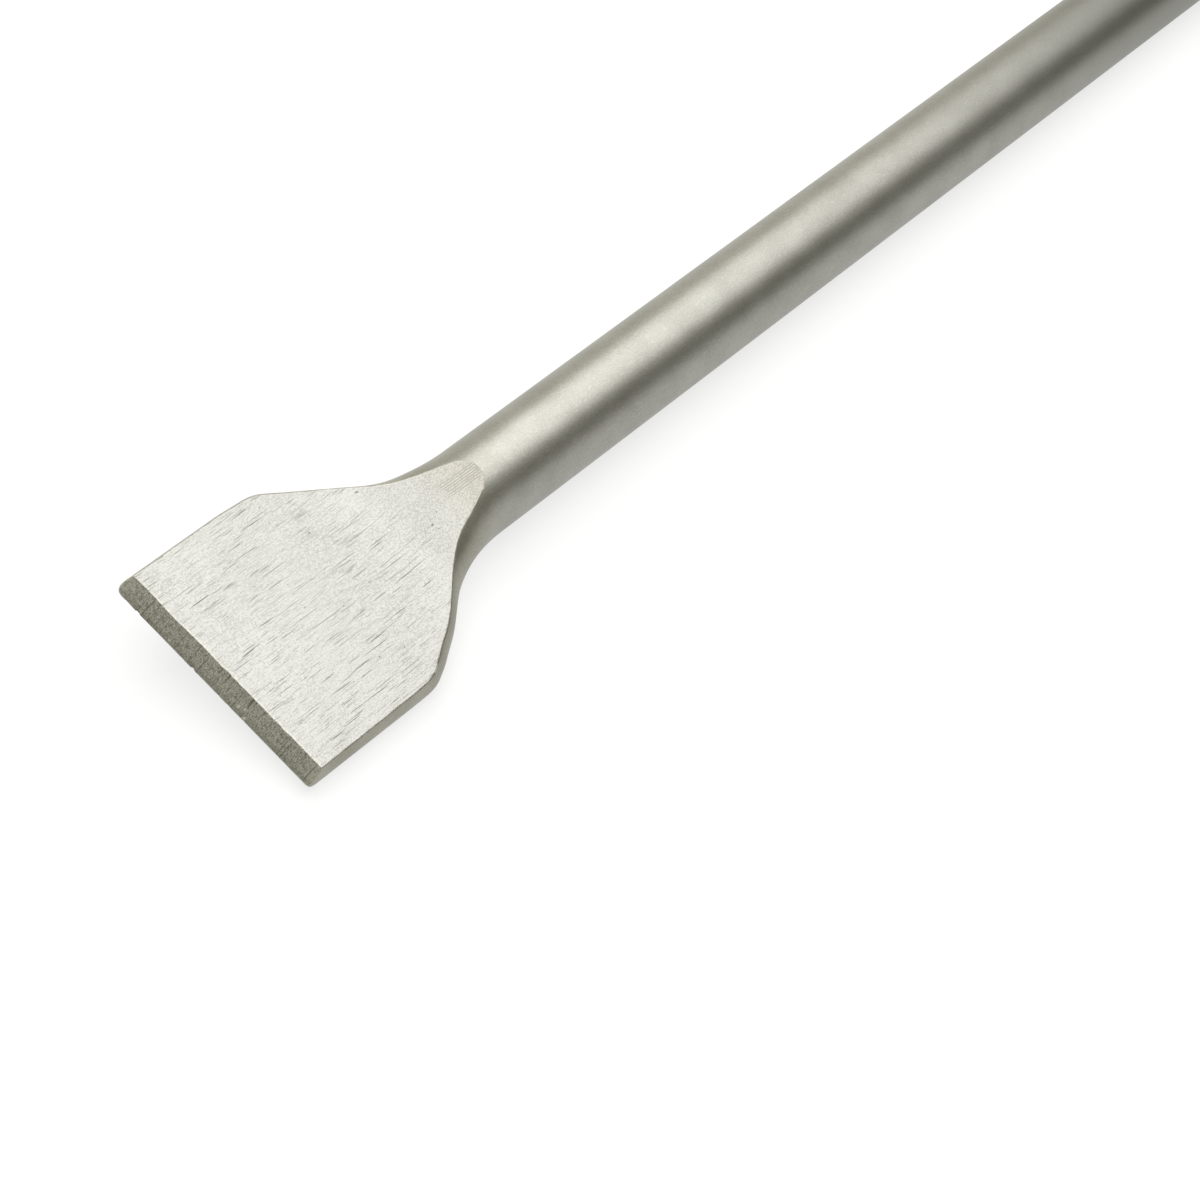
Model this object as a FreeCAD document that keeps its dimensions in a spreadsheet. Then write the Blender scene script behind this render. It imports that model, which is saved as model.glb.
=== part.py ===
import FreeCAD, Part

import math
import os

import Sketcher

# Flat chisel for a rotary hammer, forged in one piece from round bar.
# It lies on the floor as it comes to rest, on its round shaft, with one side of
# the blade down: X runs from the cutting edge to the striking end, Z is up, and
# the origin is on the floor under half the length.
# The body is drawn on the shaft's own axis, with the cutting edge at its x = 0
# and the blade level, and its placement then leans it over.

os.makedirs("parts", exist_ok=True)

doc = FreeCAD.newDocument("flat_chisel")
V = FreeCAD.Vector

# Driving dimensions, in millimetres and degrees
sizes = [
    ("overallLength", 400.0, "cutting edge to striking end"),
    ("shaftDiameter", 18.0, "round bar, the same for shaft and shank"),
    ("bladeWidth", 50.0, "widest part of the blade, at mid thickness"),
    ("bladeCrown", 16.0, "full height of the oval that rounds the blade's side walls"),
    ("plateThickness", 5.0, "blade thickness just behind the bevel"),
    ("plateTaper", 0.6, "angle by which each face opens toward the shaft"),
    ("plateLength", 36.8, "cutting edge to the start of the sweep"),
    ("sweepRadius", 38.0, "hollow that lifts each face toward the shaft"),
    ("rampAngle", 17.0, "slope of each face where it runs out on the shaft"),
    ("bevelLength", 3.2, "length of the ground bevels"),
    ("edgeLand", 0.4, "blunt width of the cutting edge"),
    ("sideLength", 29.7, "cutting edge to the corner where the shoulder starts"),
    ("shoulderAngle", 34.6, "slope of the shoulder against the axis"),
    ("cornerRadius", 6.0, "rounding between side and shoulder"),
    ("neckRadius", 30.0, "hollow between shoulder and shaft"),
    ("endChamfer", 1.5, "chamfer round the striking end"),
    ("cornerGap", 0.45, "how far the blade's low side stays off the floor"),
    ("grooveDepth", 2.6, "depth of the driving grooves"),
    ("grooveLength", 70.0, "full-depth length of the driving grooves"),
    ("grooveRunOut", 20.0, "cutter radius at the closed end of the driving grooves"),
    ("singleGrooveWidth", 6.0, "driving groove on the upper side"),
    ("pairGrooveWidth", 4.5, "each of the two driving grooves on the lower side"),
    ("pairGrooveAngle", 38.0, "angle from straight down to each lower groove"),
    ("lockGrooveRadius", 4.5, "round bottom of the locking grooves"),
    ("lockGrooveDepth", 3.0, "depth of the locking grooves"),
    ("lockGrooveLength", 36.0, "end to end length of the locking grooves"),
    ("lockGroovePlace", 54.0, "striking end to the middle of the locking grooves"),
]

sheet = doc.addObject("Spreadsheet::Sheet", "Sizes")
for row, (name, size, meaning) in enumerate(sizes, 1):
    sheet.set("A%d" % row, name)
    sheet.set("B%d" % row, str(size))
    sheet.set("C%d" % row, meaning)
    sheet.setAlias("B%d" % row, name)
doc.recompute()

# Lengths that follow from the driving dimensions
shaftRadius = "Sizes.shaftDiameter / 2"
clear = "Sizes.shaftDiameter"  # every cut starts this far outside the metal
neckRise = "(Sizes.neckRadius * (1 - cos(Sizes.shoulderAngle)))"
shoulderDrop = "(Sizes.bladeWidth / 2 - %s - %s)" % (shaftRadius, neckRise)
neckStart = "(Sizes.sideLength + %s / tan(Sizes.shoulderAngle))" % shoulderDrop
neckEnd = "(%s + Sizes.neckRadius * sin(Sizes.shoulderAngle))" % neckStart
neckStations = 6

# Lean that brings the lower edge of one side near the floor, where that side is thickest
sideEnd = "(Sizes.sideLength - Sizes.cornerRadius * tan(Sizes.shoulderAngle / 2))"
touchDepth = "(Sizes.plateThickness / 2 + (%s - Sizes.bevelLength) * tan(Sizes.plateTaper))" % sideEnd
touchWidth = "(Sizes.bladeWidth / 2 * sqrt(1 - (2 * %s / Sizes.bladeCrown) ^ 2))" % touchDepth
touchReach = "sqrt(%s ^ 2 + %s ^ 2)" % (touchWidth, touchDepth)
edgeDrop = "(%s - Sizes.cornerGap)" % shaftRadius
lean = "asin(%s / %s) - atan(%s / %s)" % (edgeDrop, touchReach, touchDepth, touchWidth)


def value(formula):
    return float(sheet.evalExpression(formula))


body = doc.addObject("PartDesign::Body", "flat_chisel")
body.Label = "flat_chisel"
body.Placement = FreeCAD.Placement(V(0, 0, 0), FreeCAD.Rotation(V(1, 0, 0), value(lean)))
body.setExpression("Placement.Base.x", "-Sizes.overallLength / 2")
body.setExpression("Placement.Base.z", shaftRadius)
body.setExpression("Placement.Rotation.Angle", lean)

planes = {plane.Role: plane for plane in body.Origin.OriginFeatures}


def sketchOn(role, name):
    sketch = body.newObject("Sketcher::SketchObject", name)
    sketch.AttachmentSupport = [(planes[role], "")]
    sketch.MapMode = "FlatFace"
    return sketch


def bind(sketch, kind, reference, name, formula):
    """Adds one dimension to a sketch and ties it to the sheet."""
    index = sketch.addConstraint(Sketcher.Constraint(kind, *reference, value(formula)))
    sketch.renameConstraint(index, name)
    sketch.setExpression("Constraints." + name, formula)


def bindAngle(sketch, line, name, formula):
    angle = math.radians(value(formula))
    index = sketch.addConstraint(Sketcher.Constraint("Angle", line, angle))
    sketch.renameConstraint(index, name)
    sketch.setExpression("Constraints." + name, "%s * 1 deg" % formula)


def addLines(sketch, corners):
    """Draws a closed outline of straight lines and joins their ends."""
    count = len(corners)
    for here, there in zip(corners, corners[1:] + corners[:1]):
        sketch.addGeometry(Part.LineSegment(V(*here, 0), V(*there, 0)))
    for line in range(count):
        joint = Sketcher.Constraint("Coincident", line, 2, (line + 1) % count, 1)
        sketch.addConstraint(joint)


# Oval and round sections across the axis

def ovalSection(name, station, halfWidth, halfHeight):
    sketch = sketchOn("YZ_Plane", name)
    sketch.setExpression("AttachmentOffset.Base.z", station)
    wide = value(halfWidth)
    high = value(halfHeight)
    sketch.addGeometry(Part.Ellipse(V(wide, 0, 0), V(0, high, 0), V(0, 0, 0)))
    sketch.exposeInternalGeometry(0)
    sketch.addConstraint(Sketcher.Constraint("Coincident", 0, 3, -1, 1))
    sketch.addConstraint(Sketcher.Constraint("Horizontal", 1))
    bind(sketch, "Distance", (1,), "width", "2 * (%s)" % halfWidth)
    bind(sketch, "Distance", (2,), "height", "2 * (%s)" % halfHeight)
    return sketch


def roundSection(name, station):
    sketch = sketchOn("YZ_Plane", name)
    sketch.setExpression("AttachmentOffset.Base.z", station)
    sketch.addGeometry(Part.Circle(V(0, 0, 0), V(0, 0, 1), value(shaftRadius)))
    sketch.addConstraint(Sketcher.Constraint("Coincident", 0, 3, -1, 1))
    bind(sketch, "Diameter", (0,), "diameter", "Sizes.shaftDiameter")
    return sketch


# Blade blank: an oval bar as wide as the blade
bladeHalf = "Sizes.bladeWidth / 2"
crownHalf = "Sizes.bladeCrown / 2"

blade = body.newObject("PartDesign::Pad", "blade")
blade.Profile = ovalSection("bladeSection", "0", bladeHalf, crownHalf)
blade.setExpression("Length", "Sizes.sideLength")

# Shoulder: straight taper from the blade to the start of the neck
neckStartHalf = "%s + %s" % (shaftRadius, neckRise)

shoulder = body.newObject("PartDesign::AdditiveLoft", "shoulder")
shoulder.Profile = ovalSection("shoulderWide", "Sizes.sideLength", bladeHalf, crownHalf)
shoulder.Sections = [ovalSection("shoulderNarrow", neckStart, neckStartHalf, shaftRadius)]
shoulder.Ruled = True


# Neck: ovals on an arc that ends level with the shaft
def neckSection(step):
    turn = "Sizes.shoulderAngle * %d / %d" % (step, neckStations - 1)
    station = "%s - Sizes.neckRadius * sin(%s)" % (neckEnd, turn)
    if step == 0:
        return roundSection("neckSection0", station)
    half = "%s + Sizes.neckRadius * (1 - cos(%s))" % (shaftRadius, turn)
    return ovalSection("neckSection%d" % step, station, half, shaftRadius)


neckSections = [neckSection(step) for step in range(neckStations)]
neck = body.newObject("PartDesign::AdditiveLoft", "neck")
neck.Profile = neckSections[0]
neck.Sections = neckSections[1:]

# Shaft and shank: round bar with a chamfered striking end
shaftProfile = sketchOn("XY_Plane", "shaftProfile")
barRadius = value(shaftRadius)
barStart = value(neckEnd)
barEnd = value("Sizes.overallLength")
chamfer = value("Sizes.endChamfer")
addLines(shaftProfile, [
    (barStart, 0),
    (barEnd, 0),
    (barEnd, barRadius - chamfer),
    (barEnd - chamfer, barRadius),
    (barStart, barRadius),
])
shaftProfile.addConstraint(Sketcher.Constraint("PointOnObject", 0, 1, -1))
shaftProfile.addConstraint(Sketcher.Constraint("Horizontal", 0))
shaftProfile.addConstraint(Sketcher.Constraint("Vertical", 1))
shaftProfile.addConstraint(Sketcher.Constraint("Horizontal", 3))
shaftProfile.addConstraint(Sketcher.Constraint("Vertical", 4))
bind(shaftProfile, "DistanceX", (-1, 1, 0, 1), "start", neckEnd)
bind(shaftProfile, "DistanceX", (-1, 1, 0, 2), "length", "Sizes.overallLength")
bind(shaftProfile, "DistanceY", (-1, 1, 3, 1), "radius", shaftRadius)
bind(shaftProfile, "DistanceX", (3, 1, 1, 2), "chamferRun", "Sizes.endChamfer")
bind(shaftProfile, "DistanceY", (1, 2, 3, 1), "chamferRise", "Sizes.endChamfer")

shaft = body.newObject("PartDesign::Revolution", "shaft")
shaft.Profile = shaftProfile
shaft.ReferenceAxis = (shaftProfile, ["H_Axis"])
shaft.Angle = 360

# Faces: bevel, plate, hollow sweep and ramp in one cut, mirrored to the underside
faceProfile = sketchOn("XZ_Plane", "faceProfile")
landHalf = value("Sizes.edgeLand / 2")
plateHalf = value("Sizes.plateThickness / 2")
bevelEnd = value("Sizes.bevelLength")
plateEnd = value("Sizes.plateLength")
sweep = value("Sizes.sweepRadius")
taper = math.radians(value("Sizes.plateTaper"))
ramp = math.radians(value("Sizes.rampAngle"))
outside = value(clear)
sweepStart = (plateEnd, plateHalf + (plateEnd - bevelEnd) * math.tan(taper))
sweepCentre = (sweepStart[0] - sweep * math.sin(taper), sweepStart[1] + sweep * math.cos(taper))
sweepEnd = (sweepCentre[0] + sweep * math.sin(ramp), sweepCentre[1] - sweep * math.cos(ramp))
rampEnd = (sweepEnd[0] + (outside - sweepEnd[1]) / math.tan(ramp), outside)
sweepCircle = Part.Circle(V(*sweepCentre, 0), V(0, 0, 1), sweep)

bevelLine, plateLine, sweepArc, rampLine, topLine, frontLine, landLine = range(7)
faceProfile.addGeometry(Part.LineSegment(V(0, landHalf, 0), V(bevelEnd, plateHalf, 0)))
faceProfile.addGeometry(Part.LineSegment(V(bevelEnd, plateHalf, 0), V(*sweepStart, 0)))
faceProfile.addGeometry(Part.ArcOfCircle(sweepCircle, taper - math.pi / 2, ramp - math.pi / 2))
faceProfile.addGeometry(Part.LineSegment(V(*sweepEnd, 0), V(*rampEnd, 0)))
faceProfile.addGeometry(Part.LineSegment(V(*rampEnd, 0), V(-outside, outside, 0)))
faceProfile.addGeometry(Part.LineSegment(V(-outside, outside, 0), V(-outside, landHalf, 0)))
faceProfile.addGeometry(Part.LineSegment(V(-outside, landHalf, 0), V(0, landHalf, 0)))
for first, second in ((bevelLine, plateLine), (rampLine, topLine), (topLine, frontLine),
                      (frontLine, landLine), (landLine, bevelLine)):
    faceProfile.addConstraint(Sketcher.Constraint("Coincident", first, 2, second, 1))
faceProfile.addConstraint(Sketcher.Constraint("Tangent", plateLine, 2, sweepArc, 1))
faceProfile.addConstraint(Sketcher.Constraint("Tangent", sweepArc, 2, rampLine, 1))
faceProfile.addConstraint(Sketcher.Constraint("PointOnObject", bevelLine, 1, -2))
faceProfile.addConstraint(Sketcher.Constraint("Horizontal", topLine))
faceProfile.addConstraint(Sketcher.Constraint("Vertical", frontLine))
faceProfile.addConstraint(Sketcher.Constraint("Horizontal", landLine))
bind(faceProfile, "DistanceY", (-1, 1, bevelLine, 1), "halfLand", "Sizes.edgeLand / 2")
bind(faceProfile, "DistanceX", (-1, 1, bevelLine, 2), "bevelLength", "Sizes.bevelLength")
bind(faceProfile, "DistanceY", (-1, 1, bevelLine, 2), "halfPlate", "Sizes.plateThickness / 2")
bind(faceProfile, "DistanceX", (-1, 1, plateLine, 2), "plateLength", "Sizes.plateLength")
bindAngle(faceProfile, plateLine, "taper", "Sizes.plateTaper")
bind(faceProfile, "Radius", (sweepArc,), "sweepRadius", "Sizes.sweepRadius")
bindAngle(faceProfile, rampLine, "ramp", "Sizes.rampAngle")
bind(faceProfile, "DistanceY", (-1, 1, rampLine, 2), "top", clear)
bind(faceProfile, "DistanceX", (landLine, 1, -1, 1), "front", clear)


def cutAcross(name, profile, width):
    """Cuts a side profile away, evenly to both sides of its plane."""
    pocket = body.newObject("PartDesign::Pocket", name)
    pocket.Profile = profile
    pocket.SideType = "Symmetric"
    pocket.setExpression("Length", width)
    return pocket


def mirrorCut(name, original, role):
    mirrored = body.newObject("PartDesign::Mirrored", name)
    mirrored.Originals = [original]
    mirrored.MirrorPlane = (planes[role], [""])
    body.Tip = mirrored
    return mirrored


upperFace = cutAcross("upperFace", faceProfile, "2 * Sizes.bladeWidth")
faces = mirrorCut("lowerFace", upperFace, "XY_Plane")
doc.recompute()


# Corners between side and shoulder
def shoulderEdges(shape):
    found = []
    corner = value("Sizes.sideLength")
    for number, edge in enumerate(shape.Edges, 1):
        box = edge.BoundBox
        upright = box.ZMin < 0 < box.ZMax and box.XLength < 0.01
        if upright and abs(box.XMin - corner) < 0.01:
            found.append("Edge%d" % number)
    return found


corners = body.newObject("PartDesign::Fillet", "corners")
corners.Base = (faces, shoulderEdges(faces.Shape))
corners.setExpression("Radius", "Sizes.cornerRadius")
body.Tip = corners


# Driving grooves: milled from the striking end, each with a round run-out
def drivingGroove(name, width, angle):
    profile = sketchOn("XZ_Plane", name + "Profile")
    profile.AttachmentOffset = FreeCAD.Placement(V(0, 0, 0), FreeCAD.Rotation(V(1, 0, 0), 0))
    profile.setExpression("AttachmentOffset.Rotation.Angle", angle)
    end = barEnd + outside
    floor = value("%s - Sizes.grooveDepth" % shaftRadius)
    cutter = value("Sizes.grooveRunOut")
    full = value("Sizes.overallLength - Sizes.grooveLength")
    circle = Part.Circle(V(full, floor + cutter, 0), V(0, 0, 1), cutter)
    runOut, floorLine, endLine, topLine = range(4)
    profile.addGeometry(Part.ArcOfCircle(circle, math.pi, 1.5 * math.pi))
    profile.addGeometry(Part.LineSegment(V(full, floor, 0), V(end, floor, 0)))
    profile.addGeometry(Part.LineSegment(V(end, floor, 0), V(end, floor + cutter, 0)))
    profile.addGeometry(Part.LineSegment(V(end, floor + cutter, 0), V(full - cutter, floor + cutter, 0)))
    profile.addConstraint(Sketcher.Constraint("Tangent", runOut, 2, floorLine, 1))
    profile.addConstraint(Sketcher.Constraint("Coincident", floorLine, 2, endLine, 1))
    profile.addConstraint(Sketcher.Constraint("Coincident", endLine, 2, topLine, 1))
    profile.addConstraint(Sketcher.Constraint("Coincident", topLine, 2, runOut, 1))
    profile.addConstraint(Sketcher.Constraint("Horizontal", floorLine))
    profile.addConstraint(Sketcher.Constraint("Vertical", endLine))
    profile.addConstraint(Sketcher.Constraint("Horizontal", topLine))
    profile.addConstraint(Sketcher.Constraint("PointOnObject", runOut, 3, topLine))
    bind(profile, "Radius", (runOut,), "cutter", "Sizes.grooveRunOut")
    bind(profile, "DistanceY", (-1, 1, floorLine, 1), "floor", "%s - Sizes.grooveDepth" % shaftRadius)
    bind(profile, "DistanceX", (-1, 1, floorLine, 1), "full", "Sizes.overallLength - Sizes.grooveLength")
    bind(profile, "DistanceX", (-1, 1, floorLine, 2), "end", "Sizes.overallLength + %s" % clear)
    return cutAcross(name, profile, width)


singleGroove = drivingGroove("singleGroove", "Sizes.singleGrooveWidth", "0 deg")
pairGroove = drivingGroove("pairGroove", "Sizes.pairGrooveWidth", "(180 - Sizes.pairGrooveAngle) * 1 deg")
mirrorCut("pairGrooveOther", pairGroove, "XZ_Plane")

# Locking grooves: closed troughs with round bottoms, one at each side
lockProfile = sketchOn("XY_Plane", "lockGrooveProfile")
trough = value("Sizes.lockGrooveRadius")
troughFloor = value("%s - Sizes.lockGrooveDepth" % shaftRadius)
troughStart = value("Sizes.overallLength - Sizes.lockGroovePlace - Sizes.lockGrooveLength / 2")
troughEnd = value("Sizes.overallLength - Sizes.lockGroovePlace + Sizes.lockGrooveLength / 2")
troughAxis = troughFloor + trough
startCircle = Part.Circle(V(troughStart + trough, troughAxis, 0), V(0, 0, 1), trough)
endCircle = Part.Circle(V(troughEnd - trough, troughAxis, 0), V(0, 0, 1), trough)
startArc, troughLine, endArc, axisLine = range(4)
lockProfile.addGeometry(Part.ArcOfCircle(startCircle, math.pi, 1.5 * math.pi))
lockProfile.addGeometry(Part.LineSegment(V(troughStart + trough, troughFloor, 0),
                                         V(troughEnd - trough, troughFloor, 0)))
lockProfile.addGeometry(Part.ArcOfCircle(endCircle, 1.5 * math.pi, 2 * math.pi))
lockProfile.addGeometry(Part.LineSegment(V(troughEnd, troughAxis, 0), V(troughStart, troughAxis, 0)))
lockProfile.addConstraint(Sketcher.Constraint("Tangent", startArc, 2, troughLine, 1))
lockProfile.addConstraint(Sketcher.Constraint("Tangent", troughLine, 2, endArc, 1))
lockProfile.addConstraint(Sketcher.Constraint("Coincident", endArc, 2, axisLine, 1))
lockProfile.addConstraint(Sketcher.Constraint("Coincident", axisLine, 2, startArc, 1))
lockProfile.addConstraint(Sketcher.Constraint("Horizontal", troughLine))
lockProfile.addConstraint(Sketcher.Constraint("PointOnObject", startArc, 3, axisLine))
lockProfile.addConstraint(Sketcher.Constraint("PointOnObject", endArc, 3, axisLine))
bind(lockProfile, "Radius", (startArc,), "trough", "Sizes.lockGrooveRadius")
bind(lockProfile, "DistanceY", (-1, 1, troughLine, 1), "floor", "%s - Sizes.lockGrooveDepth" % shaftRadius)
bind(lockProfile, "DistanceX", (startArc, 1, axisLine, 1), "length", "Sizes.lockGrooveLength")
bind(lockProfile, "DistanceX", (-1, 1, axisLine, 1), "far",
     "Sizes.overallLength - Sizes.lockGroovePlace + Sizes.lockGrooveLength / 2")

lockGroove = body.newObject("PartDesign::Groove", "lockGroove")
lockGroove.Profile = lockProfile
lockGroove.ReferenceAxis = (lockProfile, ["Edge4"])
lockGroove.Angle = 360
mirrorCut("lockGrooveOther", lockGroove, "XZ_Plane")

doc.recompute()

# Every feature has to be sound before anything is written
failed = [item.Name for item in doc.Objects if {"Invalid", "Error"} & set(item.State)]
if failed:
    raise RuntimeError("failed objects: " + ", ".join(failed))

for feature in (blade, shoulder, neck, shaft, upperFace, faces, corners, singleGroove, pairGroove, lockGroove):
    print("%-16s volume %12.3f mm3, solids %d" % (feature.Name, feature.Shape.Volume, len(feature.Shape.Solids)))

shape = body.Shape
if shape.isNull() or not shape.isValid() or len(shape.Solids) != 1:
    raise RuntimeError(body.Label + " is not one sound solid")
shape.exportStep("parts/%s.step" % body.Label)

print("%s: lean %.3f degrees, volume %.1f mm3" % (body.Label, value(lean), shape.Volume))
points = shape.tessellate(0.05)[0]
for axis in "xyz":
    places = [getattr(point, axis) for point in points]
    print("%s from %.2f to %.2f mm" % (axis, min(places), max(places)))
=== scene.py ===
import math
import bmesh
import bpy
from mathutils import Matrix, Vector, noise


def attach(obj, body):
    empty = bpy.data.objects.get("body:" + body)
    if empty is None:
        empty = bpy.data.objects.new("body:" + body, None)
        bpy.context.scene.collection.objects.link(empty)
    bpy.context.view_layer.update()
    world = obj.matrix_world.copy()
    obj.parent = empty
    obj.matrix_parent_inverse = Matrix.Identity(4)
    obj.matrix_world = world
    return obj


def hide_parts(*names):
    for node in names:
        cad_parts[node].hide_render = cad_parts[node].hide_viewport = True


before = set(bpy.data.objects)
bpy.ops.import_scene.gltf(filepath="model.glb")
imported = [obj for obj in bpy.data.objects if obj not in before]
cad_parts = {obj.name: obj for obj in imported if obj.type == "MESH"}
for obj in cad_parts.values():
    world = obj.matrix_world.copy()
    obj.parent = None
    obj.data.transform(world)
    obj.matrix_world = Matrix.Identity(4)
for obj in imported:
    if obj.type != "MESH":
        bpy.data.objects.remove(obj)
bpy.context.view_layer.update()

print("frame loaded")

mm = 0.001

# The chisel's own sizes, in millimetres and degrees. Stations run from the cutting edge.
chisel = {
    "length": 400.0,
    "barRadius": 9.0,
    "bladeHalf": 25.0,
    "sideLength": 29.7,
    "shoulderAngle": 34.6,
    "cornerRadius": 6.0,
    "neckRadius": 30.0,
    "landHalf": 0.2,
    "bevelLength": 3.2,
    "plateHalf": 2.5,
    "plateTaper": 0.6,
    "plateLength": 36.8,
    "sweepRadius": 38.0,
    "rampAngle": 17.0,
    "endChamfer": 1.5,
    "lean": 14.511,           # how far the blade leans where it rests on the floor
    "edgeRound": 0.25,        # worn rounding between face and side wall
    "bevelRound": 0.12,       # rounding to each side of the bevel line
    "bevelDrop": 0.012,       # what that rounding takes off
    "bevelWave": 0.3,         # how far the ground bevel wanders
    "nickLevel": 0.36,        # a lower level nicks more of the cutting edge
    "dent": 0.05,             # how far a forged face is from flat
    "chipDepth": 0.12,
    # each chip's station, place across the blade and radius
    "chips": [(0.9, -6.2, 0.5), (1.4, -7.5, 0.4), (0.3, -8.3, 0.45), (0.5, 11.0, 0.4)],
    "edgeHighlightFade": (50, 58),      # the worn edge's painted highlight along the face fades out here
    "barSpacing": (52, 58),   # the wall's points take the bar's own spacing here
    "wallSteps": 24,
    "edgeSteps": 4,
    "faceSteps": 60,
    "firstStations": [0, 0.15, 0.4, 0.8, 1.3, 1.8, 2.3, 2.7, 2.95,
                      3.08, 3.14, 3.2, 3.26, 3.32, 3.45, 3.7, 4.1],
    "gaps": [(26, 0.9), (33, 0.4)],    # up to this station, this far to the next
    "neckGap": 0.6,
    "barSections": 130,
    "sharpAngle": 32,
}

# Forging left the two sides a little different. Each pair is a station and a length there.
lowSide = {
    "tipRound": 0.8,
    "standOut": [(0, -0.14), (28, -0.14), (35, 0.75), (39, 0.9), (47, 0), (70, 0)],
    "crown": [(0, 12), (24, 12), (35, 7.2), (47.5, 7.0), (61, 9), (70, 9)],
}
highSide = {
    "tipRound": 1.3,
    "standOut": [(0, -0.4), (22, -0.37), (28.5, -0.7), (33, -0.35),
                 (42, -0.3), (48, -0.42), (56, 0), (70, 0)],
    "crown": [(0, 9.5), (26, 9.5), (35, 7.8), (49, 7.8), (61, 9), (70, 9)],
}

shoulder = math.radians(chisel["shoulderAngle"])
neckRise = chisel["neckRadius"] * (1 - math.cos(shoulder))
neckDrop = chisel["bladeHalf"] - chisel["barRadius"] - neckRise
neckStart = chisel["sideLength"] + neckDrop / math.tan(shoulder)
neckEnd = neckStart + chisel["neckRadius"] * math.sin(shoulder)
cornerStart = chisel["sideLength"] - chisel["cornerRadius"] * math.tan(shoulder / 2)
cornerEnd = cornerStart + chisel["cornerRadius"] * math.sin(shoulder)

taper = math.radians(chisel["plateTaper"])
ramp = math.radians(chisel["rampAngle"])
sweepEnd = chisel["plateLength"] + chisel["sweepRadius"] * (math.sin(ramp) - math.sin(taper))
sweepLow = chisel["plateHalf"] + (chisel["plateLength"] - chisel["bevelLength"]) * math.tan(taper)
sweepHigh = sweepLow + chisel["sweepRadius"] * (math.cos(taper) - math.cos(ramp))
tongueEnd = sweepEnd + (chisel["barRadius"] - sweepHigh) / math.tan(ramp)

lean = math.radians(chisel["lean"])
walls, edges, faces = chisel["wallSteps"], chisel["edgeSteps"], chisel["faceSteps"]
quarter = walls + edges + faces


# The chisel stands level while it is made, with its axis on X, and leans over last
def laidDown(shape):
    axle = Matrix.Translation((-chisel["length"] / 2 * mm, 0, chisel["barRadius"] * mm))
    placed = axle @ Matrix.Rotation(lean, 4, "X") @ Matrix.Scale(mm, 4)
    bmesh.ops.transform(shape, matrix=placed, verts=shape.verts)


def clamped(value):
    return min(1, max(0, value))


# 1 at no distance, 0 from the reach on
def fading(distance, reach):
    return max(0, 1 - distance / reach)


# What a round corner takes off, at a distance from where its curve begins
def roundedOff(radius, distance):
    return radius - math.sqrt(radius ** 2 - distance ** 2)


def eased(stops, s):
    for (first, low), (last, high) in zip(stops, stops[1:]):
        if s <= last:
            part = (s - first) / (last - first)
            return low + (high - low) * part * part * (3 - 2 * part)
    return stops[-1][1]


def planHalf(s, form):
    standOut = eased(form["standOut"], s)
    half = chisel["bladeHalf"] + standOut
    if s > neckEnd:
        return chisel["barRadius"]
    if s > neckStart:
        return chisel["barRadius"] + roundedOff(chisel["neckRadius"], neckEnd - s) + standOut
    if s > cornerEnd:
        return half - (s - chisel["sideLength"]) * math.tan(shoulder)
    if s > cornerStart:
        return half - roundedOff(chisel["cornerRadius"], s - cornerStart)
    if s < form["tipRound"]:
        return half - roundedOff(form["tipRound"], form["tipRound"] - s)
    return half


def faceHeight(s):
    bevel, soft = chisel["bevelLength"], chisel["bevelRound"]
    ground = chisel["landHalf"] + s * (chisel["plateHalf"] - chisel["landHalf"]) / bevel
    plate = chisel["plateHalf"] + (s - bevel) * math.tan(taper)
    if s < bevel - soft:
        return ground
    if s < bevel + soft:
        part = (s - bevel + soft) / (2 * soft)
        return min(ground, plate) - chisel["bevelDrop"] * math.sin(math.pi * part)
    if s < chisel["plateLength"]:
        return plate
    if s < sweepEnd:
        turn = math.asin(math.sin(taper) + (s - chisel["plateLength"]) / chisel["sweepRadius"])
        return sweepLow + chisel["sweepRadius"] * (math.cos(taper) - math.cos(turn))
    return sweepHigh + (s - sweepEnd) * math.tan(ramp)


# Near the round bar the wall's points keep to the bar's own spacing
def wallTurn(s, step, last):
    share = step / walls
    first, end = chisel["barSpacing"]
    near = clamped((s - first) / (end - first))
    return last * share * (1 - near) + min(math.pi / 2 * share, last) * near


# One quarter of the outline at a station: side wall, rounded edge, flat face
def quarterPoint(s, step, form):
    wide, high, face = planHalf(s, form), eased(form["crown"], s), faceHeight(s)

    def wallPoint(turn):
        return Vector((s, wide * math.cos(turn), high * math.sin(turn)))

    if face >= high - 1e-4:      # the face has run out on the bar
        return wallPoint(math.pi / 2 * min(1, step / walls))
    corner = math.asin(face / high)
    half = wide * math.cos(corner)
    speed = math.hypot(wide * math.sin(corner), high * math.cos(corner))
    worn = chisel["edgeRound"] * (0.9 + 0.9 * noise.noise(Vector((s / 1.6, 0, 3))))
    worn = min(worn, 0.4 * half, 0.4 * corner * speed)
    last = corner - worn / speed
    if step <= walls:
        return wallPoint(wallTurn(s, step, last))
    if step < walls + edges:
        part = (step - walls) / edges
        middle, end = Vector((s, half, face)), Vector((s, half - worn, face))
        return wallPoint(last) * (1 - part) ** 2 + middle * 2 * part * (1 - part) + end * part ** 2
    return Vector((s, (half - worn) * (1 - (step - walls - edges) / faces), face))


# Close together at the bevel line and the corners, and closer and closer to the tongue's end
def stations():
    found = list(chisel["firstStations"])
    gaps = chisel["gaps"] + [(tongueEnd - 4, chisel["neckGap"])]
    while found[-1] < tongueEnd - 0.05:
        s = found[-1]
        closing = max(0.06, (tongueEnd - s) * 0.12)
        found.append(s + next((gap for until, gap in gaps if s < until), closing))
    return found[:-1] + [tongueEnd]


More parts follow.
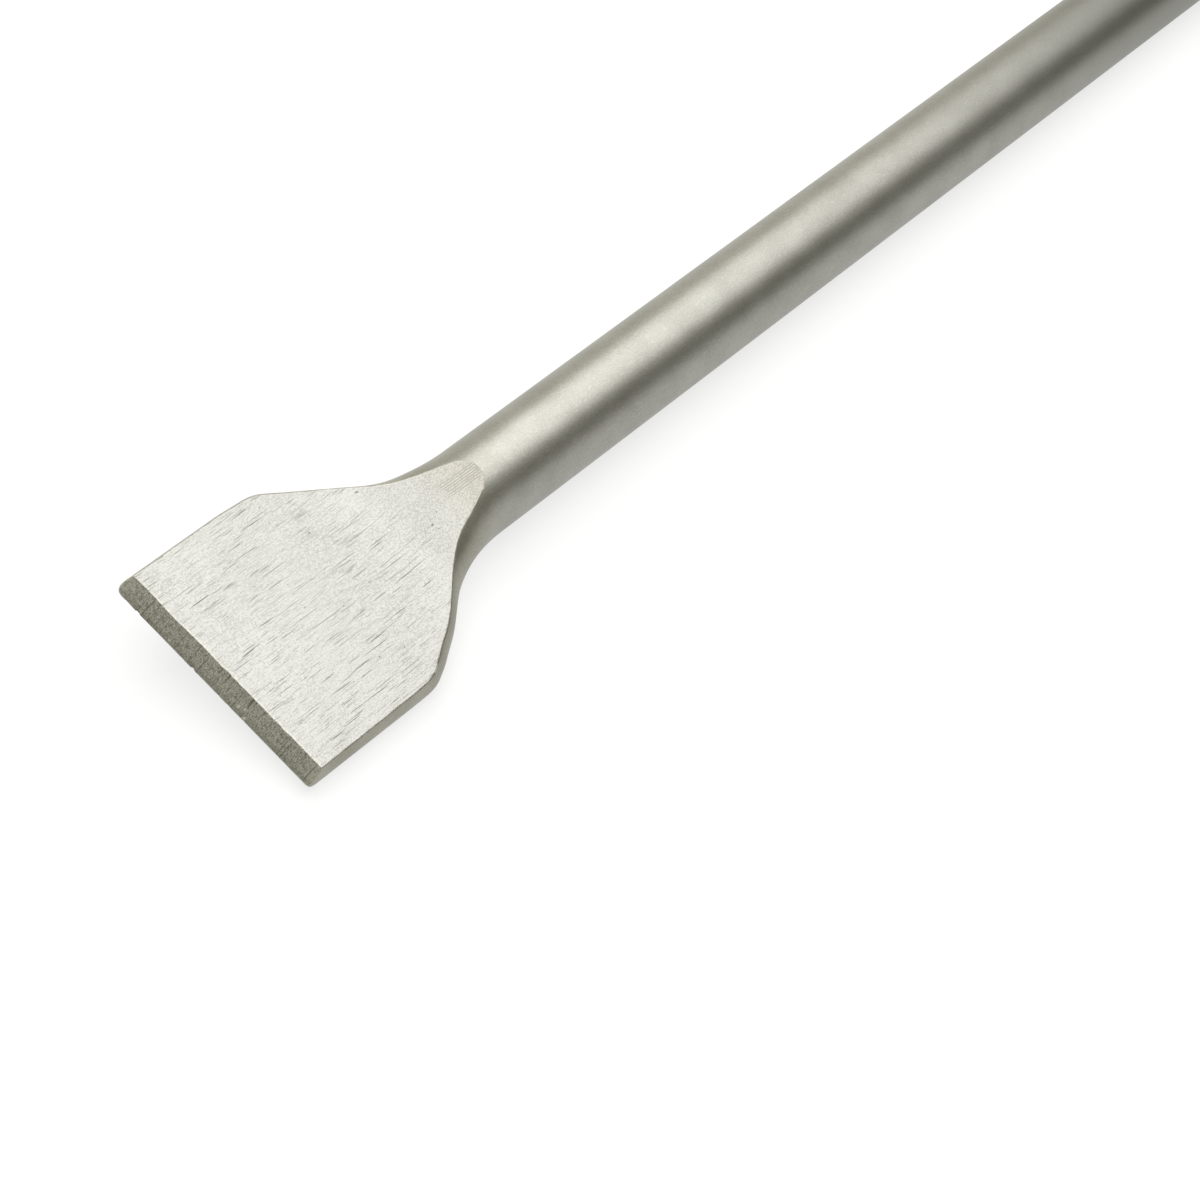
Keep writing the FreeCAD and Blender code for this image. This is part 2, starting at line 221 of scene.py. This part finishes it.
# A flat grid is rolled round the axis: its columns are stations, its rows go round the outline
def rolledGrid(shape, stops, around, pointAt):
    made = bmesh.ops.create_grid(shape, x_segments=len(stops) - 1, y_segments=around, size=0.5)
    for vert in made["verts"]:
        column = round((vert.co.x + 0.5) * (len(stops) - 1))
        row = round((vert.co.y + 0.5) * around)
        vert.co = pointAt(vert, stops[column], row % around)


# The marks tell the steel where it is face, ground bevel, bright rim or fresh chip; the bright rim is
# worn edge with a painted highlight
mesh = bmesh.new()
markNames = ("face", "grind", "rim", "chip")
faceMark, grindMark, paleHighlightMark, chipMark = [mesh.verts.layers.float.new(name) for name in markNames]


def bladePoint(vert, s, row):
    number, step = divmod(row, quarter)
    if number % 2:
        step = quarter - step
    form = highSide if number in (0, 3) else lowSide
    point = quarterPoint(s, step, form)
    point.y *= 1 if number in (0, 3) else -1
    point.z *= 1 if number in (0, 1) else -1
    up = -1 if point.z < 0 else 1
    bevel = chisel["bevelLength"]

    onFace = clamped((step - walls) / edges)
    onBevel = clamped((bevel + 0.03 - s) / 0.06)
    alive = faceHeight(s) < eased(form["crown"], s) - 0.02      # the face hasn't run out yet
    lip = 0.7 * onFace * (3.25 < s < 3.5)      # a bright lip along the bevel line: ground steel with a painted highlight
    fadeFrom, fadeEnd = chisel["edgeHighlightFade"]
    # the rounded edge between wall and face gets a pale line: worn steel with a painted highlight
    rim = math.sin(math.pi * onFace) * alive * clamped((fadeEnd - s) / (fadeEnd - fadeFrom))
    vert[faceMark] = min(1, onFace * 2) * (1 - onBevel) * alive
    vert[grindMark] = onFace * onBevel
    vert[paleHighlightMark] = max(lip, rim)

    # the grinding wheel wandered, and use has left small nicks in the edge
    wander = 0.8 * noise.noise(Vector((point.y / 9, up * 4, 0)))
    wander += 0.5 * noise.noise(Vector((point.y / 1.6, up * 9, 2)))
    nick = max(0, noise.noise(Vector((point.y / 1.3, 5, 7))) - chisel["nickLevel"])
    point.x += chisel["bevelWave"] * wander * fading(abs(s - bevel), 2.4)
    point.x += nick * fading(s, 0.9) + 0.05 * fading(s, 0.6)
    for station, side, radius in chisel["chips"]:
        depth = fading(math.hypot(point.x - station, point.y - side), radius) * (onFace > 0)
        point.z -= up * chisel["chipDepth"] * depth
        vert[chipMark] = max(vert[chipMark], depth)

    # a forged face is never quite flat
    if onFace:
        bulge = 0.5 + noise.noise(Vector((s / 9, point.y / 6, up * 3)))
        point.z -= up * chisel["dent"] * bulge * min(1, s / 4) * alive
    return point


rolledGrid(mesh, stations(), quarter * 4, bladePoint)
print("blade rolled")

barSteps = 4 * walls
barEnd = chisel["length"]
barRun = barEnd - chisel["endChamfer"] - tongueEnd
sections = chisel["barSections"]
barStops = [tongueEnd + barRun * n / sections for n in range(sections + 1)] + [barEnd]


def barPoint(vert, s, row):
    turn = 2 * math.pi * row / barSteps
    radius = chisel["barRadius"] - (chisel["endChamfer"] if s == barEnd else 0)
    return Vector((s, radius * math.cos(turn), radius * math.sin(turn)))


rolledGrid(mesh, barStops, barSteps, barPoint)
bmesh.ops.remove_doubles(mesh, verts=mesh.verts, dist=1e-4)
bmesh.ops.dissolve_degenerate(mesh, edges=mesh.edges, dist=1e-4)
bmesh.ops.holes_fill(mesh, edges=[edge for edge in mesh.edges if edge.is_boundary], sides=0)
bmesh.ops.recalc_face_normals(mesh, faces=mesh.faces)
laidDown(mesh)
openEdges = sum(edge.is_boundary for edge in mesh.edges)
print("bar joined:", len(mesh.verts), "points, open edges:", openEdges)

# The milled grooves of the shank are cut with plain cutters. Millimetres and degrees.
shank = {
    "grooveDepth": 2.6,
    "grooveLength": 70.0,
    "grooveRunOut": 20.0,
    "singleWidth": 6.0,
    "pairWidth": 4.5,
    "pairAngle": 38.0,
    "lockRadius": 4.5,
    "lockDepth": 3.0,
    "lockLength": 36.0,
    "lockPlace": 54.0,
}


# A quarter of a circle, as how far along and how far across each point has come
def quarterArc(radius, steps):
    turns = [n * math.pi / 2 / steps for n in range(steps + 1)]
    return [(radius * math.sin(turn), radius - radius * math.cos(turn)) for turn in turns]


def grooveCutter(width, angle):
    cutter = bmesh.new()
    bottom = chisel["barRadius"] - shank["grooveDepth"]
    full = chisel["length"] - shank["grooveLength"]
    top = bottom + shank["grooveRunOut"]
    beyond = barEnd + 5
    outline = [(full - back, bottom + rise) for back, rise in quarterArc(shank["grooveRunOut"], 16)]
    outline += [(full, top), (beyond, top), (beyond, bottom)]
    side = cutter.faces.new([cutter.verts.new((x, -width / 2, z)) for x, z in outline])
    pulled = bmesh.ops.extrude_face_region(cutter, geom=[side])
    moved = [item for item in pulled["geom"] if isinstance(item, bmesh.types.BMVert)]
    bmesh.ops.translate(cutter, vec=(0, width, 0), verts=moved)
    turned = Matrix.Rotation(math.radians(angle), 3, "X")
    bmesh.ops.rotate(cutter, cent=(0, 0, 0), matrix=turned, verts=cutter.verts)
    bmesh.ops.recalc_face_normals(cutter, faces=cutter.faces)
    return cutter


def lockCutter(side):
    cutter = bmesh.new()
    radius = shank["lockRadius"]
    half = shank["lockLength"] / 2
    outline = [(rise - half, -out) for out, rise in quarterArc(radius, 12)]
    outline += [(-x, y) for x, y in reversed(outline)]
    points = [cutter.verts.new((x, y, 0)) for x, y in outline]
    wire = [cutter.edges.new(pair) for pair in zip(points, points[1:])]
    bmesh.ops.spin(cutter, geom=points + wire, cent=(0, 0, 0), axis=(1, 0, 0), dvec=(0, 0, 0),
                   angle=2 * math.pi, steps=48, use_merge=True)
    bmesh.ops.remove_doubles(cutter, verts=cutter.verts, dist=1e-5)
    middle = chisel["length"] - shank["lockPlace"]
    out = chisel["barRadius"] - shank["lockDepth"] + radius
    bmesh.ops.translate(cutter, vec=(middle, side * out, 0), verts=cutter.verts)
    bmesh.ops.recalc_face_normals(cutter, faces=cutter.faces)
    return cutter


def meshObject(name, shape):
    data = bpy.data.meshes.new(name)
    shape.to_mesh(data)
    shape.free()
    made = bpy.data.objects.new(name, data)
    bpy.context.scene.collection.objects.link(made)
    return made


piece = meshObject("chisel", mesh)
cutters = [grooveCutter(shank["singleWidth"], 0),
           grooveCutter(shank["pairWidth"], 180 - shank["pairAngle"]),
           grooveCutter(shank["pairWidth"], 180 + shank["pairAngle"]),
           lockCutter(1), lockCutter(-1)]
for cutter in cutters:
    laidDown(cutter)
    tool = meshObject("cutter", cutter)
    cut = piece.modifiers.new("cut", "BOOLEAN")
    cut.operation = "DIFFERENCE"
    cut.solver = "EXACT"
    cut.object = tool
    evaluated = piece.evaluated_get(bpy.context.evaluated_depsgraph_get())
    done = bpy.data.meshes.new_from_object(evaluated)
    piece.modifiers.remove(cut)
    piece.data = done
    bpy.data.objects.remove(tool)
for polygon in piece.data.polygons:
    polygon.use_smooth = True
piece.data.set_sharp_from_angle(angle=math.radians(chisel["sharpAngle"]))
print("grooves cut:", len(piece.data.polygons), "faces")


# Shader maths as plain expressions
class Wire:
    def __init__(self, tree, socket=None):
        self.tree, self.socket = tree, socket

    def node(self, kind, settings=None, sockets=None, output=0):
        made = self.tree.nodes.new(kind)
        for name, setting in (settings or {}).items():
            if name == "stops":
                stops = made.color_ramp.elements
                stops[0].position, stops[1].position = 0, 1
                for spot, level in setting[1:-1]:
                    stops.new(spot)
                for stop, (spot, level) in zip(stops, setting):
                    stop.color = (level, level, level, 1)
            else:
                setattr(made, name, setting)
        for name, feed in (sockets or {}).items():
            if isinstance(feed, Wire):
                self.tree.links.new(feed.socket, made.inputs[name])
            else:
                made.inputs[name].default_value = feed
        return Wire(self.tree, made.outputs[output] if made.outputs else None)

    def maths(self, operation, *values):
        return self.node("ShaderNodeMath", {"operation": operation}, dict(enumerate(values)))

    def __add__(self, other):
        return self.maths("ADD", self, other)

    def __radd__(self, other):
        return self.maths("ADD", other, self)

    def __sub__(self, other):
        return self.maths("SUBTRACT", self, other)

    def __rsub__(self, other):
        return self.maths("SUBTRACT", other, self)

    def __mul__(self, other):
        return self.maths("MULTIPLY", self, other)

    def __rmul__(self, other):
        return self.maths("MULTIPLY", other, self)

    # 0 below low, 1 above high, soft between
    def between(self, low, high):
        return self.node("ShaderNodeMapRange", {"interpolation_type": "SMOOTHSTEP"}, {
            "Value": self, "From Min": low, "From Max": high, "To Min": 0.0, "To Max": 1.0})

    # the X, Y or Z of a place or direction
    def axis(self, number):
        return self.node("ShaderNodeSeparateXYZ", {}, {"Vector": self}, output=number)

    def stretched(self, scale):
        return self.node("ShaderNodeMapping", {}, {"Vector": self, "Scale": scale})

    def grain(self, scale, detail=2.0, rough=0.5):
        return self.node("ShaderNodeTexNoise", {},
                         {"Vector": self, "Scale": scale, "Detail": detail, "Roughness": rough})


# The first colour where the factor is 0, the second where it is 1
def blended(first, second, factor, kind="MIX"):
    nodes = factor if isinstance(factor, Wire) else first
    return nodes.node("ShaderNodeMix", {"data_type": "RGBA", "blend_type": kind},
                      {0: factor, 6: first, 7: second}, output=2)


def newMaterial(name):
    made = bpy.data.materials.new(name)
    made.use_nodes = True
    made.node_tree.nodes.clear()
    return made, Wire(made.node_tree)


# Colours, grains per metre, and where along the chisel, in metres, one colour gives way to the next; the
# bar's darkening toward its far end is painted shade
steel = {
    "pale": (0.39, 0.39, 0.372, 1),
    "shade": (0.29, 0.288, 0.268, 1),
    "warm": (0.355, 0.346, 0.308, 1),
    "warmShade": (0.265, 0.257, 0.224, 1),
    "streak": (0.13, 0.127, 0.108, 1),
    "ground": (0.158, 0.160, 0.142, 1),
    "groundLight": (0.445, 0.448, 0.403, 1),
    "groundDark": (0.10, 0.10, 0.082, 1),
    "bar": (0.388, 0.384, 0.352, 1),
    "barShade": (0.322, 0.318, 0.286, 1),
    "barPaintedShade": (0.24, 0.24, 0.22, 1),
    "wall": (0.37, 0.363, 0.308, 1),
    "wallShade": (0.30, 0.293, 0.24, 1),
    "rim": (0.46, 0.45, 0.40, 1),
    "chip": (0.72, 0.71, 0.66, 1),
    "fine": 4500,
    "grit": 3000,
    "pits": 1500,
    "cloud": 150,
    "faintLines": (480, 4400, 300),
    "linePatches": (90, 260, 90),
    "darkLines": (165, 6000, 90),
    "thinLines": (360, 8000, 90),
    "grindLines": (1800, 6500, 1800),
    "deepLines": (110, 2600, 110),
    "flecks": (900, 1700, 1700),
    "scratches": 13000,
    "linesStop": (0.043, 0.052),
    "warmBegins": (0.050, 0.061),
    "scratchesBegin": (0.0535, 0.0560),
    "barBegins": (0.052, 0.072),
    "barPaintedShadeSpan": (0.17, 0.31),
    "bumpDepth": 0.00006,
    "bumpStrength": 0.35,
}

material, steelNodes = newMaterial("blasted_steel")
cuttingMiddle = Vector((-chisel["length"] / 2 * mm, 0, chisel["barRadius"] * mm))
objectPlace = steelNodes.node("ShaderNodeTexCoord", output=3)
place = steelNodes.node("ShaderNodeMapping", {}, {      # back to the level chisel, from the cutting edge
    "Vector": objectPlace, "Rotation": (-lean, 0, 0),
    "Location": -(Matrix.Rotation(-lean, 3, "X") @ cuttingMiddle)})
along, across = place.axis(0), place.axis(1)
faceArea, grindArea, paleHighlightArea, chipArea = [
    steelNodes.node("ShaderNodeAttribute", {"attribute_name": name}, output=2) for name in markNames]


def lines(name, detail, rough):
    return place.stretched(steel[name]).grain(1, detail, rough)


# blasting leaves a fine even grain, with faint clouds
fine = place.grain(steel["fine"], 1, 0.6)
grit = place.grain(steel["grit"], 2, 0.6)
cloud = place.grain(steel["cloud"], 3, 0.55)
pits = place.grain(steel["pits"], 0, 0.5).between(0.845, 0.87)

# drawn-out lines left by forging, only on the flat part of the blade
flat = 1 - along.between(*steel["linesStop"])
faintLines = lines("faintLines", 2, 0.6)
darkLines = lines("darkLines", 1, 0.4).between(0.65, 0.71)
thinLines = lines("thinLines", 1, 0.4).between(0.64, 0.71)
patches = lines("linePatches", 2, 0.5).between(0.28, 0.50) * flat

# scratches run along the tongue in one narrow band
drift = across + (along - 0.058) * 0.15
band = drift.between(-0.0015, -0.0010) * (1 - drift.between(0.0020, 0.0024))
tongue = along.between(*steel["scratchesBegin"]) * band
scratches = drift.maths("SINE", (drift + cloud * 0.0005) * steel["scratches"]).between(0.3, 1)

faceGrain = grit * 0.38 + fine * 0.33 + cloud * 0.1 + (faintLines * flat + grit * (1 - flat)) * 0.19
light = faceGrain.between(0.40, 0.57)
bladeColour = blended(steel["shade"], steel["pale"], light)
rampColour = blended(steel["warmShade"], steel["warm"], light)
faceColour = blended(bladeColour, rampColour, along.between(*steel["warmBegins"]))
faceColour = blended(faceColour, steel["streak"], (darkLines * 0.95 + thinLines * 0.55) * patches)
faceColour = blended(faceColour, steel["streak"], scratches * tongue * grit.between(0.30, 0.55) * 0.75)
faceColour = blended(faceColour, steel["streak"], pits * 0.9)

# the bevels are ground toward the edge
grindLines = lines("grindLines", 2, 0.6)
deepLines = lines("deepLines", 0, 0.5).between(0.69, 0.75)
corners = across.maths("ABSOLUTE", across).between(0.0215, 0.0245)
grindGrain = grindLines * 0.55 + fine * 0.45 + corners * 0.05
groundColour = blended(steel["ground"], steel["groundLight"], grindGrain.between(0.36, 0.62))
cuttingEdge = 1 - along.between(0.0001, 0.0012)
groundColour = blended(groundColour, steel["groundDark"], deepLines * 0.8 + cuttingEdge * 0.3)
chipShine = chipArea.between(0.1, 0.6) * fine.between(0.3, 0.6) * 0.8
groundColour = blended(groundColour, steel["chip"], chipShine)

wallColour = blended(steel["wallShade"], steel["wall"], (grit * 0.5 + cloud * 0.5).between(0.38, 0.62))
# painted highlight: the side wall is painted paler toward +y, where the light falls on it
wallColour = blended(wallColour, steel["rim"], across.between(0.006, 0.012))
barColour = blended(steel["barShade"], steel["bar"], (grit * 0.6 + cloud * 0.4).between(0.38, 0.62))
barColour = blended(barColour, steel["rim"], lines("flecks", 2, 0.6).between(0.60, 0.74) * 0.55)
# painted shade: the bar is darkened toward its far end, where the lamp's light falls off
barColour = blended(barColour, steel["barPaintedShade"], along.between(*steel["barPaintedShadeSpan"]))

colour = blended(wallColour, barColour, (along + cloud * 0.01).between(*steel["barBegins"]))
colour = blended(colour, faceColour, faceArea)
colour = blended(colour, groundColour, grindArea)
# worn edges and the bevel lip are painted pale: wear with a painted highlight
colour = blended(colour, steel["rim"], paleHighlightArea * grit.between(0.35, 0.6) * 0.8)
roughness = 0.41 + grit * 0.08 + faceArea * 0.03

relief = fine * 0.7 + faintLines * flat * 0.3 - darkLines * patches * 0.5
bump = steelNodes.node("ShaderNodeBump", {}, {
    "Strength": steel["bumpStrength"], "Distance": steel["bumpDepth"], "Height": relief})
shader = steelNodes.node("ShaderNodeBsdfPrincipled", {}, {
    "Base Color": colour, "Roughness": roughness, "Metallic": 1.0, "Normal": bump})
steelNodes.node("ShaderNodeOutputMaterial", {}, {"Surface": shader})
piece.data.materials.clear()
piece.data.materials.append(material)
print("steel made")

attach(piece, "root")
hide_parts("flat_chisel")

# Pale floor, plain to the camera and in reflections, with the chisel's soft shadow
stage = {
    "half": 6,
    "colour": (0.85, 0.85, 0.85, 1),
    "plainNear": 0.75,        # how plain it is by the chisel, where the shadow shows
    "plainFrom": (0.5, 1.5),  # and how far out it is all plain
}
floorMesh = bmesh.new()
bmesh.ops.create_grid(floorMesh, x_segments=1, y_segments=1, size=stage["half"])
floor = meshObject("floor", floorMesh)
floorMaterial, floorNodes = newMaterial("pale_floor")
cameraRay, glossyRay, glassRay = [
    floorNodes.node("ShaderNodeLightPath", output=name)
    for name in ("Is Camera Ray", "Is Glossy Ray", "Is Transmission Ray")]
seen = (cameraRay + glossyRay + glassRay).between(0, 1)
matt = floorNodes.node("ShaderNodeBsdfDiffuse", {}, {"Color": stage["colour"]})
white = floorNodes.node("ShaderNodeEmission", {}, {"Color": (1, 1, 1, 1), "Strength": 1.0})
floorPlace = floorNodes.node("ShaderNodeTexCoord", output=3)
away = floorNodes.node("ShaderNodeVectorMath", {"operation": "LENGTH"}, {0: floorPlace}, output=1)
plainness = stage["plainNear"] + away.between(*stage["plainFrom"]) * (1 - stage["plainNear"])
floorShader = floorNodes.node("ShaderNodeMixShader", {}, {0: seen * plainness, 1: matt, 2: white})
floorNodes.node("ShaderNodeOutputMaterial", {}, {"Surface": floorShader})
floor.data.materials.append(floorMaterial)

# Soft studio light: a level for each height, and more or less of it toward each side
studio = {
    "levels": [(0, 0.62), (0.2, 0.5), (0.42, 0.12), (0.75, 0.12), (1, 0.3)],    # height, level
    "south": 0.2,
    "eastLoss": 0.5,
    "northGain": 0.47,
    "westGain": 0.2,
    "lowWestGain": 0.35,
    "warmth": (1, 0.975, 0.83, 1),
    "southWarmth": (1, 0.96, 0.72, 1),
}
world = bpy.data.worlds.new("studio")
bpy.context.scene.world = world
world.use_nodes = True
world.node_tree.nodes.clear()
sky = Wire(world.node_tree)
direction = sky.node("ShaderNodeTexCoord", output=0)
east, north, height = [direction.axis(number) for number in range(3)]
west, south = 0 - east, (0 - north).between(0.05, 0.5)
byHeight = sky.node("ShaderNodeValToRGB", {"stops": studio["levels"]}, {"Fac": height})
shaded = byHeight * (1 - south) + south * studio["south"]
shaded = shaded * (1 - east.between(0.3, 0.9) * studio["eastLoss"])
lit = shaded + north.between(0.15, 0.6) * studio["northGain"]
lit = lit + west.between(0.2, 0.7) * studio["westGain"]
lit = lit + west.between(0.0, 0.4) * (1 - height.between(0.4, 0.7)) * studio["lowWestGain"]
warmth = blended(studio["warmth"], studio["southWarmth"], south)
tinted = blended(lit, warmth, 1.0, "MULTIPLY")
seenSky = blended(tinted, (1, 1, 1, 1), sky.node("ShaderNodeLightPath", output="Is Camera Ray"))
backdrop = sky.node("ShaderNodeBackground", {}, {"Color": seenSky, "Strength": 1.0})
sky.node("ShaderNodeOutputWorld", {}, {"Surface": backdrop})

# One wide soft lamp, straight overhead and facing down
overhead = {
    "place": (0.13, 0.07, 0.9),
    "size": (1.26, 1.36),
    "watts": 15.2,
}
lamp = bpy.data.lights.new("overhead", "AREA")
lamp.shape = "RECTANGLE"
lamp.size, lamp.size_y = overhead["size"]
lamp.energy = overhead["watts"]
lampHolder = bpy.data.objects.new("overhead", lamp)
lampHolder.location = overhead["place"]
bpy.context.scene.collection.objects.link(lampHolder)

# Camera: where it stood over the level blade, leaned over with it
view = {
    "eye": (-0.34758, -0.13691, 0.39056),
    "toward": (0.4725, 0.2357, -0.8492),
    "up": (0.5507, 0.6734, 0.4933),
    "lens": 75.2,
    "sensor": 36,
    "clip": 0.01,
}
back = -Vector(view["toward"]).normalized()
right = Vector(view["up"]).cross(back).normalized()
upward = back.cross(right)
level = Matrix.Translation(view["eye"]) @ Matrix((right, upward, back)).transposed().to_4x4()
barAxis = Matrix.Translation((0, 0, chisel["barRadius"] * mm))
camera = bpy.data.objects.new("camera", bpy.data.cameras.new("camera"))
camera.data.lens = view["lens"]
camera.data.sensor_width = view["sensor"]
camera.data.clip_start = view["clip"]
camera.matrix_world = barAxis @ Matrix.Rotation(lean, 4, "X") @ barAxis.inverted() @ level
bpy.context.scene.collection.objects.link(camera)
bpy.context.scene.camera = camera
bpy.context.scene.view_settings.view_transform = "Standard"
print("stage and camera set")
